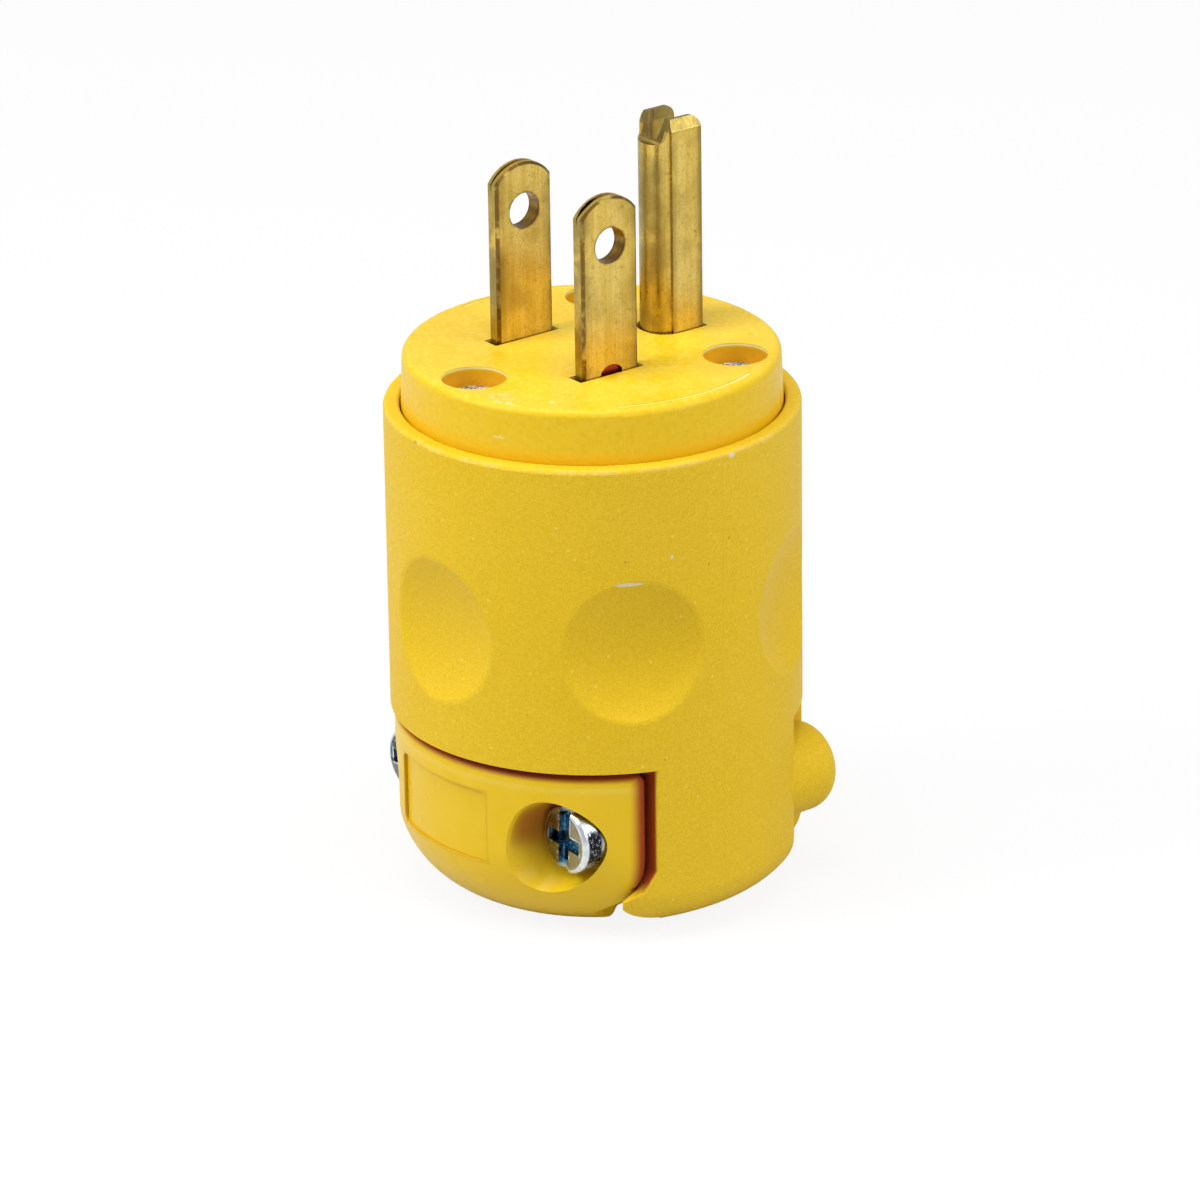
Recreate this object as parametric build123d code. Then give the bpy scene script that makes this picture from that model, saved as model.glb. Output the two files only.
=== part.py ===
from build123d import *
import math
import os

# A rewirable three pin mains plug, standing on its rear end. Millimetres.
# Z runs from the rear end to the tips of the pins, X across the two flat blades,
# Y from the blades towards the ground pin. The clamp for the cord is on the minus Y side.

# Rear body, the housing that the hand holds
face_height = 51.7        # flat of the front face above the rear end
body_radius = 19.2
face_rise = 4.95          # the front face stands this far above the rim of the body
rim_outer_round = 0.45
rim_inner_round = 0.3
rear_round_across = 8.0   # the rear edge is a quarter ellipse, wider than it is high
rear_round_up = 4.9
rim_wall = 1.5
rim_depth = 10.75         # from the rim down to the ledge under the skirt of the front face
chamber_wall = 3.6        # round the wiring chamber inside the body
chamber_floor = 20.0
cord_radius = 8.0         # half the width of the passage for the cord
rear_relief_top = 2.6     # slope from the bay back to the rear end, beside the cord
rear_relief_back = -3.4

# Finger dimples round the body
dimple_count = 6
dimple_turn = 3.4         # the ring of dimples is turned a little from the blades
dimple_height = 28.9
dimple_half_width = 6.45
dimple_half_tall = 6.85
dimple_depth = 1.9
dimple_rim_round = 0.8
dimple_reach = 1.35       # the cutter's height against the dimple's own

# Bay for the clamp, with a thin toe outside each end of the clamp
bay_wall = -6.9
bay_top = 17.2
bay_edge_round = 0.35
toe_setback = 3.0         # inner side of the toes, measured in from the side of the body
toe_slope_top = 7.05
toe_shoulder_y = -8.0
toe_shoulder_height = 5.2
toe_tip_y = -9.75
toe_tip_height = 4.35

# Flats and blind bosses on the far side, which take the ends of the clamp screws
web_half_width = 10.5
flat_corner_round = 2.2
boss_radius = 4.3
boss_setback = 1.85       # tip of a boss, measured in from the side of the body
boss_height = 5.95
boss_rooting = 3.0
boss_crown_radius = 5.5
boss_edge_round = 2.6
boss_wall = 2.4

# Clamp across the cord
clamp_setback = 0.35
clamp_top_gap = 0.35
clamp_end_gap = 0.35
clamp_toe_gap = 0.3
clamp_top_round = 1.1
clamp_end_round = 0.8
clamp_rear_round_up = 8.6
tongue_clearance = 0.4
tongue_tip = -4.5
grip_groove_depth = 0.6
grip_groove_width = 2.0
grip_groove_pitch = 4.2
grip_groove_count = 3
clamp_step_x = 11.9       # a step up, and from there the underside rises to each end
clamp_step_height = 1.75
clamp_step_round = 1.0
clamp_under_slope = 0.64
plate_half_width = 6.3
plate_bottom = 7.1
plate_top = 14.2
plate_depth = 0.35
plate_corner_round = 0.7

# Clamp screws and their square nuts
clamp_screw_offset = 4.0  # from the side of the cord's passage
clamp_screw_z = 10.0
clamp_screw_radius = 1.75
clamp_screw_tip_gap = 1.15
clamp_screw_chamfer = 0.6
clamp_head_radius = 3.2
clamp_head_height = 2.8
clamp_head_round = 0.45
pocket_depth = 8.45       # from the front of the clamp to the seats of the heads
pocket_seat_radius = 3.4
pocket_mouth_half_width = 3.9
pocket_mouth_half_height = 6.2
pocket_mouth_drop = 1.3
recess_slot_width = 1.5
recess_slot_depth = 0.65
recess_cross_length = 4.5
recess_cross_width = 1.3
recess_cross_depth = 1.3
recess_turn = 94.0
screw_hole_clearance = 0.2
thread_clearance = 0.03
nut_width = 6.4
nut_thickness = 2.2
nut_y = 3.0
nut_corner = 0.5
nut_clearance = 0.15

# Front face, a cup with its floor at the top
face_gap = 0.35           # between the face and the rim of the body
face_draft = 0.2          # the drum is this much wider at the rim of the body
face_round = 0.7
face_thickness = 4.0
skirt_wall = 1.4
skirt_foot_gap = 0.15
arc_step_inset = 1.25
arc_step_width = 0.35
arc_step_depth = 0.15
arc_steps = ((-30.0, 24.0), (150.0, 190.0))   # first and last angle of each arc

# Screws that hold the face to the body
face_screw_inset = 5.8    # measured in from the side of the body
face_screw_angles = (-90.0, 40.0, 140.0)
face_screw_names = ("face_screw_front", "face_screw_right", "face_screw_left")
face_screw_radius = 1.75
face_screw_length = 16.0
face_screw_chamfer = 0.8
face_screw_head_radius = 2.8
face_screw_head_height = 1.9
face_screw_head_round = 0.6
face_recess_length = 3.4
face_recess_width = 0.85
face_recess_depth = 1.2
counterbore_radius = 3.0
counterbore_depth = 3.5
pilot_spare = 1.0         # the pilot hole is this much deeper than the screw
face_boss_radius = 4.3
post_radius = 5.2

# Flat blades
blade_x = 6.35
blade_y = -3.19
blade_width = 6.35
blade_thickness = 1.52
blade_tip_height = 16.86  # above the face
blade_shoulder_height = 15.19
blade_bevel = 0.28
blade_hole_radius = 1.68
blade_hole_height = 12.25
blade_slit_depth = 2.4
blade_slit_width = 0.44
slot_clearance = 0.15
slot_end_clearance = 0.45
root_mark_width = 2.4     # shallow rounded recess where the blade enters the face
root_mark_height = 0.9
root_mark_side = 0.3
root_mark_depth = 0.35

# Ground pin, a strip folded lengthways into a U
ground_y = 8.35
ground_bend_radius = 2.15
ground_leg_x = 2.4
ground_leg_start = 7.7
ground_leg_end = 11.1
ground_sheet = 0.85
ground_slot_flat = 0.6    # flat left between the two rounds of the slot's front
ground_tip_height = 20.45
ground_bend_drop = 2.35   # the bend is cut back this far below the tips of the legs
ground_front_y = 7.15     # front edge of the legs above the bend
ground_front_slope = 0.3
ground_notch_round = 0.8
ground_tip_round = 1.1
ground_bevel_height = 1.1
ground_bevel_depth = 0.45

# Terminals under the face
tab_thickness = 0.76
tab_end_gap = 1.7         # to the skirt of the front face
tab_corner_round = 1.2
ground_tab_end = -2.9
ground_tab_half_width = 3.1
terminal_inset = 5.1      # from the skirt of the front face to the middle of a side screw
ground_terminal_y = 1.0
terminal_screw_radius = 1.9
terminal_screw_length = 4.2
terminal_screw_room = 0.3
terminal_head_radius = 3.1
terminal_head_height = 1.8
terminal_head_chamfer = 0.4
pressure_plate_width = 6.0
pressure_plate_length = 8.0
pressure_plate_thickness = 0.8
pressure_plate_lip = 0.6
pressure_plate_lip_width = 0.7
plate_hole_clearance = 0.1
driver_slot_width = 0.9
driver_slot_depth = 0.9
driver_slot_turn = 30.0

# Insulating carrier that keeps the terminals apart
retainer_gap = 0.3
retainer_thickness = 2.2
retainer_window_gap = 0.8
barrier_x = 5.1
barrier_thickness = 1.3
barrier_front = -8.0
barrier_back = 5.6
barrier_depth = 8.0

# Places that follow from the sizes above
body_height = face_height - face_rise
face_shelf = body_height - rim_depth
rim_bore_radius = body_radius - rim_wall
chamber_radius = body_radius - chamber_wall
face_radius = rim_bore_radius - face_gap
skirt_inner_radius = face_radius - skirt_wall
arc_step_radius = face_radius - arc_step_inset
face_screw_ring = body_radius - face_screw_inset
toe_inner = body_radius - toe_setback
boss_tip = body_radius - boss_setback
flat_y = boss_tip - boss_height
boss_root = flat_y - boss_rooting
clamp_radius = body_radius - clamp_setback
clamp_seat_y = pocket_depth - clamp_radius
clamp_screw_x = cord_radius + clamp_screw_offset
bore_end = boss_tip - boss_wall
clamp_screw_end = bore_end - clamp_screw_tip_gap
tab_end_x = skirt_inner_radius - tab_end_gap
terminal_x = skirt_inner_radius - terminal_inset
face_underside = face_height - face_thickness
tab_underside = face_underside - tab_thickness
retainer_underside = tab_underside - retainer_thickness
clamp_top = bay_top - clamp_top_gap
clamp_inner_y = bay_wall - clamp_end_gap
counterbore_floor = face_height - counterbore_depth
spare = 1.0               # cutters run this far past what they cut, and joined pieces overlap
near = 0.01               # edges are picked within this distance
wide = 3 * body_radius


def upright(radius, low, high, x=0.0, y=0.0):
    # round bar along Z between two heights
    bar = Cylinder(radius, high - low, align=(Align.CENTER, Align.CENTER, Align.MIN))
    return Pos(x, y, low) * bar


def crosswise(radius, near, far, x, z):
    # round bar along Y between two places
    bar = Cylinder(radius, far - near, align=(Align.CENTER, Align.CENTER, Align.MIN))
    return Pos(x, near, z) * Rot(-90, 0, 0) * bar


def block(x_range, y_range, z_range):
    # box given by its lowest and highest X, Y and Z
    sizes = [high - low for low, high in (x_range, y_range, z_range)]
    middle = [(high + low) / 2 for low, high in (x_range, y_range, z_range)]
    return Pos(*middle) * Box(*sizes)


def turned(*edges):
    # solid of revolution about Z from an outline in radius and height
    return revolve(Plane.XZ * make_face(list(edges)), Axis.Z)


def along_x(corners, half_width):
    # prism across the part from corners in Y and Z
    return extrude(Plane.YZ * make_face(Polyline(*corners, close=True)), amount=half_width, both=True)


def along_y(corners, half_length):
    # prism along Y from corners in X and Z
    return extrude(Plane.XZ * make_face(Polyline(*corners, close=True)), amount=half_length, both=True)


def both_sides(piece):
    return [piece, mirror(piece, Plane.YZ)]


def ring_place(radius, angle):
    turn = math.radians(angle)
    return radius * math.cos(turn), radius * math.sin(turn)


def rear_edge(radius, round_up):
    # quarter ellipse from the flat rear end up to the side
    return EllipticalCenterArc((radius - rear_round_across, round_up), rear_round_across, round_up,
                               start_angle=270, arc_size=90)


def rounded_bar(radius, round_up, top):
    # bar that stands on its flat end, with a broad round at its rear edge
    rest = Polyline((radius, round_up), (radius, top), (0, top), (0, 0),
                    (radius - rear_round_across, 0))
    return turned(rear_edge(radius, round_up), rest)


def dimple_cutter():
    # lens whose outline on the body is as wide and tall as a fingertip
    chord_drop = body_radius - math.sqrt(body_radius**2 - dimple_half_width**2)
    side_sink = dimple_depth - chord_drop
    side_radius = (dimple_half_width**2 + side_sink**2) / (2 * side_sink)
    tall_radius = (dimple_half_tall**2 + dimple_depth**2) / (2 * dimple_depth)
    half = dimple_half_tall * dimple_reach
    reach = math.sqrt(tall_radius**2 - half**2) - tall_radius
    bulge = ThreePointArc((side_radius + reach, -half), (side_radius, 0),
                          (side_radius + reach, half))
    rest = Polyline((side_radius + reach, half), (0, half), (0, -half),
                    (side_radius + reach, -half))
    lens = turned(bulge, rest)
    return Pos(body_radius - dimple_depth + side_radius, 0, dimple_height) * lens


def toe_line(gap):
    # slopes of a toe from the wall of the bay to its tip, and this far clear of them
    return [(bay_wall, toe_slope_top + 2 * gap), (toe_shoulder_y - gap, toe_shoulder_height + gap),
            (toe_tip_y - gap, toe_tip_height + gap)]


def bay_cutter():
    # the bay runs right across, and outside toe_inner its floor is the slope of a toe
    corners = [(-wide, -spare), (-wide, bay_top), (bay_wall, bay_top)] + toe_line(0)
    ends = along_x(corners + [(toe_tip_y, -spare)], wide)
    middle = block((-toe_inner, toe_inner), (-wide, bay_wall), (-spare, bay_top))
    relief = along_x([(bay_wall - spare, -rear_relief_top), (bay_wall - spare, rear_relief_top),
                      (bay_wall, rear_relief_top),
                      (2 * rear_relief_back - bay_wall, -rear_relief_top)], toe_inner)
    return ends + middle + relief


def passage_cutter():
    # round hole in the floor of the chamber, then a channel open towards the clamp
    hole = upright(cord_radius, -spare, chamber_floor + spare)
    channel = block((-cord_radius, cord_radius), (bay_wall - spare, 0), (-spare, bay_top))
    return hole + channel


def flat_cutter():
    # a flat each side of the web leaves the bosses standing clear
    return block((web_half_width, wide), (flat_y, wide), (-spare, bay_top))


def boss():
    # blind boss with a low crown, rooted inside the body
    crown_y = boss_tip - boss_crown_radius
    side = crown_y + math.sqrt(boss_crown_radius**2 - boss_radius**2)
    middle = crown_y + math.sqrt(boss_crown_radius**2 - (boss_radius / 2)**2)
    outline = make_face([
        Polyline((0, boss_tip), (0, boss_root), (boss_radius, boss_root), (boss_radius, side)),
        ThreePointArc((boss_radius, side), (boss_radius / 2, middle), (0, boss_tip))])
    corner = [v for v in outline.vertices() if v.X > boss_radius / 2 and v.Y > flat_y]
    outline = fillet(corner, boss_edge_round)
    return Pos(clamp_screw_x, 0, clamp_screw_z) * revolve(outline, Axis.Y)


def nut_slot():
    # the square nut drops down this slot from the floor of the chamber
    half = nut_width / 2 + nut_clearance
    return block((clamp_screw_x - half, clamp_screw_x + half),
                 (nut_y - nut_clearance, nut_y + nut_thickness + nut_clearance),
                 (clamp_screw_z - half, chamber_floor + spare))


def post(angle):
    # carries the carrier and one boss of the face, and takes the thread of a face screw
    x, y = ring_place(face_screw_ring, angle)
    column = upright(post_radius, chamber_floor - spare, retainer_underside, x, y)
    foot = column & upright(chamber_radius + spare, 0, face_shelf)
    return foot + (column & upright(chamber_radius, face_shelf - spare, retainer_underside))


def outer_body():
    # the moulding from outside: rim, finger dimples, flats, bosses and the bay for the clamp
    body = rounded_bar(body_radius, rear_round_up, body_height)
    body = fillet([e for e in body.edges() if e.center().Z > body_height - near], rim_outer_round)
    for step in range(dimple_count):
        cutter = Rot(0, 0, dimple_turn + (step + 0.5) * 360 / dimple_count) * dimple_cutter()
        body -= cutter
    rims = [e for e in body.edges().filter_by(GeomType.LINE, reverse=True)
            if abs(e.center().Z - dimple_height) < dimple_half_tall]
    body = fillet(rims, dimple_rim_round)
    for one in both_sides(flat_cutter()):
        body -= one
    corners = [e for e in body.edges().filter_by(Axis.Z)
               if abs(e.center().Y - flat_y) < near and abs(e.center().X) > web_half_width + spare]
    body = fillet(corners, flat_corner_round)
    for one in both_sides(boss()):
        body += one
    body -= bay_cutter()
    walls = [e for e in body.edges().filter_by(Axis.Z)
             if abs(e.center().Y - bay_wall) < near and e.length > bay_top / 2]
    return fillet(walls, bay_edge_round)


def rear_body():
    body = outer_body()
    body -= upright(rim_bore_radius, face_shelf, body_height + spare)
    rim = [e for e in body.edges().filter_by(GeomType.CIRCLE)
           if e.center().Z > body_height - near and abs(e.radius - rim_bore_radius) < near]
    body = fillet(rim, rim_inner_round)
    body -= upright(chamber_radius, chamber_floor, face_shelf + spare)
    for angle in face_screw_angles:
        body += post(angle)
    body -= passage_cutter()
    for angle in face_screw_angles:
        x, y = ring_place(face_screw_ring, angle)
        body -= upright(face_screw_radius + thread_clearance,
                        counterbore_floor - face_screw_length - pilot_spare,
                        retainer_underside + spare, x, y)
    bore = crosswise(clamp_screw_radius + screw_hole_clearance, bay_wall - spare, bore_end,
                     clamp_screw_x, clamp_screw_z)
    for one in both_sides(bore + nut_slot()):
        body -= one
    return body


def head_pocket():
    # pocket from the flat seat of a head to a taller mouth that opens downwards
    seat = Plane((clamp_screw_x, clamp_seat_y, clamp_screw_z), x_dir=(1, 0, 0), z_dir=(0, -1, 0))
    mouth = Pos(0, -pocket_mouth_drop, pocket_depth) * \
        Ellipse(pocket_mouth_half_width, pocket_mouth_half_height)
    return loft([seat * Circle(pocket_seat_radius), seat * mouth], ruled=True)


def name_recess():
    # bare recessed panel in the middle of the clamp
    panel = make_face(Polyline((-plate_half_width, plate_bottom), (plate_half_width, plate_bottom),
                               (plate_half_width, plate_top), (-plate_half_width, plate_top),
                               close=True))
    panel = fillet(panel.vertices(), plate_corner_round)
    slab = extrude(Plane.XZ * panel, amount=wide)
    return slab - upright(clamp_radius - plate_depth, plate_bottom - spare, plate_top + spare)


def clamp_underside():
    # a step, then a slope that rises to the end of the clamp
    rise = clamp_step_height + clamp_under_slope * (wide - clamp_step_x)
    cutter = along_y([(clamp_step_x, -spare), (clamp_step_x, clamp_step_height), (wide, rise),
                      (wide, -spare)], wide)
    corner = [e for e in cutter.edges().filter_by(Axis.Y) if abs(e.center().X - clamp_step_x) < near
              and e.center().Z > 0]
    return fillet(corner, clamp_step_round)


def toe_clearance():
    corners = toe_line(clamp_toe_gap) + [(toe_tip_y - clamp_toe_gap, -spare), (bay_wall, -spare)]
    return along_x(corners, wide) & block((toe_inner - clamp_toe_gap, wide), (-wide, wide), (-wide, wide))


def cord_clamp():
    bar = rounded_bar(clamp_radius, clamp_rear_round_up, clamp_top)
    bar -= block((-wide, wide), (clamp_inner_y, wide), (-spare, clamp_top + spare))
    ends = [e for e in bar.edges().filter_by(Axis.Z) if abs(e.center().X) > clamp_screw_x]
    bar = fillet(ends, clamp_end_round)
    outer = [e for e in bar.edges() if abs(e.center().Z - clamp_top) < near
             and abs(e.center().Y - clamp_inner_y) > near]
    bar = fillet(outer, clamp_top_round)
    half = cord_radius - tongue_clearance
    bar += block((-half, half), (clamp_inner_y - spare, tongue_tip), (0, clamp_top))
    bar -= upright(cord_radius, -spare, clamp_top + spare)
    first = clamp_top / 2 - grip_groove_pitch * (grip_groove_count - 1) / 2
    for step in range(grip_groove_count):
        middle = first + step * grip_groove_pitch
        bar -= upright(cord_radius + grip_groove_depth, middle - grip_groove_width / 2,
                       middle + grip_groove_width / 2)
    hole = crosswise(clamp_screw_radius + screw_hole_clearance, clamp_seat_y - spare,
                     bay_wall, clamp_screw_x, clamp_screw_z)
    for one in both_sides(clamp_underside()) + both_sides(toe_clearance()) + both_sides(hole):
        bar -= one
    for one in both_sides(head_pocket()):
        bar -= one
    return bar - name_recess()


def clamp_screw():
    # cylindrical head with a softened rim, a broad slot and a cross
    head_top = clamp_seat_y - clamp_head_height
    head = crosswise(clamp_head_radius, head_top, clamp_seat_y, clamp_screw_x, clamp_screw_z)
    rim = [e for e in head.edges() if abs(e.center().Y - head_top) < near]
    head = fillet(rim, clamp_head_round)
    shank = crosswise(clamp_screw_radius, clamp_seat_y, clamp_screw_end,
                      clamp_screw_x, clamp_screw_z)
    tip = [e for e in shank.edges() if abs(e.center().Y - clamp_screw_end) < near]
    shank = chamfer(tip, clamp_screw_chamfer)
    slot = Box(2 * clamp_head_radius + spare, 2 * recess_slot_depth, recess_slot_width)
    bar = Box(recess_cross_length, 2 * recess_cross_depth, recess_cross_width)
    cross = bar + Rot(0, 90, 0) * bar
    recess = Pos(clamp_screw_x, head_top, clamp_screw_z) * Rot(0, recess_turn, 0) * (slot + cross)
    return head + shank - recess


def clamp_nut():
    half = nut_width / 2
    nut = block((clamp_screw_x - half, clamp_screw_x + half), (nut_y, nut_y + nut_thickness),
                (clamp_screw_z - half, clamp_screw_z + half))
    nut = chamfer(nut.edges().filter_by(Axis.Y), nut_corner)
    return nut - crosswise(clamp_screw_radius, nut_y - spare, nut_y + nut_thickness + spare,
                           clamp_screw_x, clamp_screw_z)


def blade_slot():
    return block((blade_x - blade_thickness / 2 - slot_clearance,
                  blade_x + blade_thickness / 2 + slot_clearance),
                 (blade_y - blade_width / 2 - slot_end_clearance,
                  blade_y + blade_width / 2 + slot_end_clearance),
                 (face_underside - spare, face_height + spare))


def ground_slot():
    half = ground_leg_x + slot_clearance
    front = ground_y - ground_bend_radius - slot_clearance
    slot = block((-half, half), (front, ground_leg_end + slot_end_clearance),
                 (face_underside - spare, face_height + spare))
    corners = [e for e in slot.edges().filter_by(Axis.Z) if abs(e.center().Y - front) < near]
    return fillet(corners, half - ground_slot_flat / 2)


def arc_step(first, last):
    # shallow groove that follows the edge of the face
    sweep = math.radians(last - first)
    low = face_height - arc_step_depth
    ring = upright(arc_step_radius + arc_step_width, low, face_height + spare)
    ring -= upright(arc_step_radius, low - spare, face_height + 2 * spare)
    far = wide / math.cos(sweep / 2)
    corners = [(0, 0)] + [ring_place(far, angle) for angle in (first, (first + last) / 2, last)]
    wedge = extrude(make_face(Polyline(*corners, close=True)), amount=4 * spare)
    return ring & Pos(0, 0, face_height - 2 * spare) * wedge


def front_face():
    rim_radius = face_radius + face_draft
    low = face_shelf + skirt_foot_gap
    profile = Polyline((0, low), (rim_radius, low), (rim_radius, body_height),
                       (face_radius, face_height), (0, face_height), close=True)
    drum = turned(profile)
    edge = [e for e in drum.edges() if abs(e.center().Z - face_height) < near]
    drum = fillet(edge, face_round)
    drum -= upright(skirt_inner_radius, low - spare, face_underside)
    for angle in face_screw_angles:
        x, y = ring_place(face_screw_ring, angle)
        tube = upright(face_boss_radius, retainer_underside, face_underside + spare, x, y)
        drum += tube & upright(skirt_inner_radius + skirt_wall / 2, 0, face_height)
    for angle in face_screw_angles:
        x, y = ring_place(face_screw_ring, angle)
        drum -= upright(counterbore_radius, counterbore_floor, face_height + spare, x, y)
        drum -= upright(face_screw_radius + screw_hole_clearance, 0, face_height, x, y)
    drum -= ground_slot()
    for one in both_sides(blade_slot()):
        drum -= one
    screw_room = terminal_screw_radius + screw_hole_clearance
    tip = tab_underside - pressure_plate_thickness + terminal_screw_length + terminal_screw_room
    for x, y in ((terminal_x, blade_y), (-terminal_x, blade_y), (0, ground_terminal_y)):
        drum -= upright(screw_room, face_underside - spare, tip, x, y)
    for first, last in arc_steps:
        drum -= arc_step(first, last)
    return drum


def face_screw(angle):
    # pan head with a crossed recess, at the bottom of its counterbore
    x, y = ring_place(face_screw_ring, angle)
    top = counterbore_floor + face_screw_head_height
    head = upright(face_screw_head_radius, counterbore_floor, top)
    head = fillet([e for e in head.edges() if abs(e.center().Z - top) < near], face_screw_head_round)
    end = counterbore_floor - face_screw_length
    shank = upright(face_screw_radius, end, counterbore_floor)
    shank = chamfer([e for e in shank.edges() if e.center().Z < end + near], face_screw_chamfer)
    bar = Box(face_recess_width, face_recess_length, 2 * face_recess_depth)
    cross = Pos(0, 0, top) * (bar + Rot(0, 0, 90) * bar)
    return Pos(x, y, 0) * Rot(0, 0, angle) * (head + shank - cross)


def blade(side):
    # strip folded double, with bevelled edges and the two layers just parted at the tip
    half = blade_width / 2
    shoulder = face_height + blade_shoulder_height
    tip = face_height + blade_tip_height
    outline = make_face([
        Polyline((-half, shoulder), (-half, tab_underside), (half, tab_underside), (half, shoulder)),
        ThreePointArc((half, shoulder), (0, tip), (-half, shoulder))])
    strip = extrude(Plane.YZ * outline, amount=blade_thickness / 2, both=True)
    rims = [e for e in strip.edges() if abs(abs(e.center().X) - blade_thickness / 2) < near
            and e.center().Z > tab_underside + spare]
    strip = chamfer(rims, blade_bevel)
    strip -= Pos(0, 0, face_height + blade_hole_height) * Rot(0, 90, 0) * \
        Cylinder(blade_hole_radius, 3 * blade_thickness)
    strip -= along_y([(-blade_slit_width / 2, tip), (blade_slit_width / 2, tip),
                      (0, tip - blade_slit_depth)], blade_width)
    strip -= root_mark()
    tab = block((-blade_thickness / 2, tab_end_x - blade_x), (-half, half),
                (tab_underside, face_underside))
    tab = fillet([e for e in tab.edges().filter_by(Axis.Z) if e.center().X > blade_thickness],
                 tab_corner_round)
    piece = Pos(blade_x, blade_y, 0) * (strip + tab)
    piece -= upright(terminal_screw_radius, tab_underside - spare, face_height, terminal_x, blade_y)
    return piece if side > 0 else mirror(piece, Plane.YZ)


def root_mark():
    # shallow stamped recess with a rounded top
    half = root_mark_width / 2
    side = face_height + root_mark_side
    outline = make_face([
        Polyline((-half, side), (-half, face_height - spare), (half, face_height - spare), (half, side)),
        ThreePointArc((half, side), (0, face_height + root_mark_height), (-half, side))])
    return Pos(blade_thickness / 2 - root_mark_depth, 0, 0) * extrude(Plane.YZ * outline, amount=spare)


def ground_notch():
    # clears the bend at the tip and slopes the front edges of the legs above it
    low = face_height + ground_tip_height - ground_bend_drop
    rise = ground_bend_drop + spare
    cutter = along_x([(0, low), (ground_front_y, low), (ground_front_y + ground_front_slope * rise,
                                                       low + rise), (0, low + rise)], wide)
    corner = [e for e in cutter.edges().filter_by(Axis.X)
              if abs(e.center().Y - ground_front_y) < near and abs(e.center().Z - low) < near]
    return fillet(corner, ground_notch_round)


def ground_bevel():
    # long bevel outside the tip of a leg
    middle = face_height + ground_tip_height
    low, high = middle - ground_bevel_height, middle + ground_bevel_height
    return along_y([(ground_leg_x, low), (ground_leg_x - 2 * ground_bevel_depth, high),
                    (ground_leg_x + spare, high), (ground_leg_x + spare, low)], wide)


def ground_pin():
    # the strip is bent round at the blade side, and both legs run on past the bend at the tip
    tip = face_height + ground_tip_height
    inner = ground_bend_radius - ground_sheet
    pin = upright(ground_bend_radius, tab_underside, tip, 0, ground_y)
    pin -= block((-wide, wide), (ground_y, wide), (0, tip + spare))
    leg = block((ground_leg_x - ground_sheet, ground_leg_x), (ground_leg_start, ground_leg_end),
                (tab_underside, tip))
    back = [e for e in leg.edges().filter_by(Axis.X)
            if e.center().Y > ground_y and e.center().Z > face_height]
    for one in both_sides(fillet(back, ground_tip_round)):
        pin += one
    hollow = upright(inner, 0, tip + spare, 0, ground_y)
    hollow += block((ground_sheet - ground_leg_x, ground_leg_x - ground_sheet),
                    (ground_y, wide), (0, tip + spare))
    pin -= hollow
    pin -= ground_notch()
    for one in both_sides(ground_bevel()):
        pin -= one
    tab = block((-ground_tab_half_width, ground_tab_half_width),
                (ground_tab_end, ground_y - ground_bend_radius + ground_sheet / 2),
                (tab_underside, face_underside))
    pin += fillet([e for e in tab.edges().filter_by(Axis.Z) if e.center().Y < 0], tab_corner_round)
    return pin - upright(terminal_screw_radius, tab_underside - spare, face_height,
                         0, ground_terminal_y)


def terminal_screw(x, y):
    # slotted head below the pressure plate, driven from the cord side
    seat = tab_underside - pressure_plate_thickness
    low = seat - terminal_head_height
    head = upright(terminal_head_radius, low, seat)
    head = chamfer([e for e in head.edges() if abs(e.center().Z - low) < near], terminal_head_chamfer)
    shank = upright(terminal_screw_radius, seat, seat + terminal_screw_length)
    slot = Box(2 * terminal_head_radius + spare, driver_slot_width, 2 * driver_slot_depth)
    return Pos(x, y, 0) * (head + shank - Pos(0, 0, low) * Rot(0, 0, driver_slot_turn) * slot)


def pressure_plate(x, y):
    # square plate that spreads the screw's grip over the wire
    top = tab_underside
    low = top - pressure_plate_thickness
    half_x = pressure_plate_width / 2
    half_y = pressure_plate_length / 2
    plate = block((-half_x, half_x), (-half_y, half_y), (low, top))
    for side in (-1, 1):
        near, far = sorted((side * half_y, side * (half_y - pressure_plate_lip_width)))
        plate += block((-half_x, half_x), (near, far), (low - pressure_plate_lip, low))
    plate -= upright(terminal_screw_radius + plate_hole_clearance, low - spare, top + spare)
    return Pos(x, y, 0) * plate


def terminal_retainer():
    # disc with a window at each terminal and two barrier walls between them
    disc = upright(skirt_inner_radius - retainer_gap, retainer_underside, tab_underside)
    for angle in face_screw_angles:
        x, y = ring_place(face_screw_ring, angle)
        disc -= upright(face_boss_radius + retainer_gap / 2, 0, face_height, x, y)
    half_x = pressure_plate_width / 2 + retainer_window_gap
    half_y = pressure_plate_length / 2 + retainer_window_gap
    for x, y in ((terminal_x, blade_y), (-terminal_x, blade_y), (0, ground_terminal_y)):
        far = x + math.copysign(wide, x) if x else half_x
        low_x, high_x = sorted((x - math.copysign(half_x, x), far)) if x else (-half_x, half_x)
        disc -= block((low_x, high_x), (y - half_y, y + half_y), (0, face_height))
    for side in (-1, 1):
        middle = side * barrier_x
        wall = block((middle - barrier_thickness / 2, middle + barrier_thickness / 2),
                     (barrier_front, barrier_back),
                     (retainer_underside - barrier_depth, retainer_underside + spare))
        for angle in face_screw_angles:
            x, y = ring_place(face_screw_ring, angle)
            wall -= upright(post_radius + retainer_gap / 2, 0, face_height, x, y)
        disc += wall
    return disc


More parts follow.
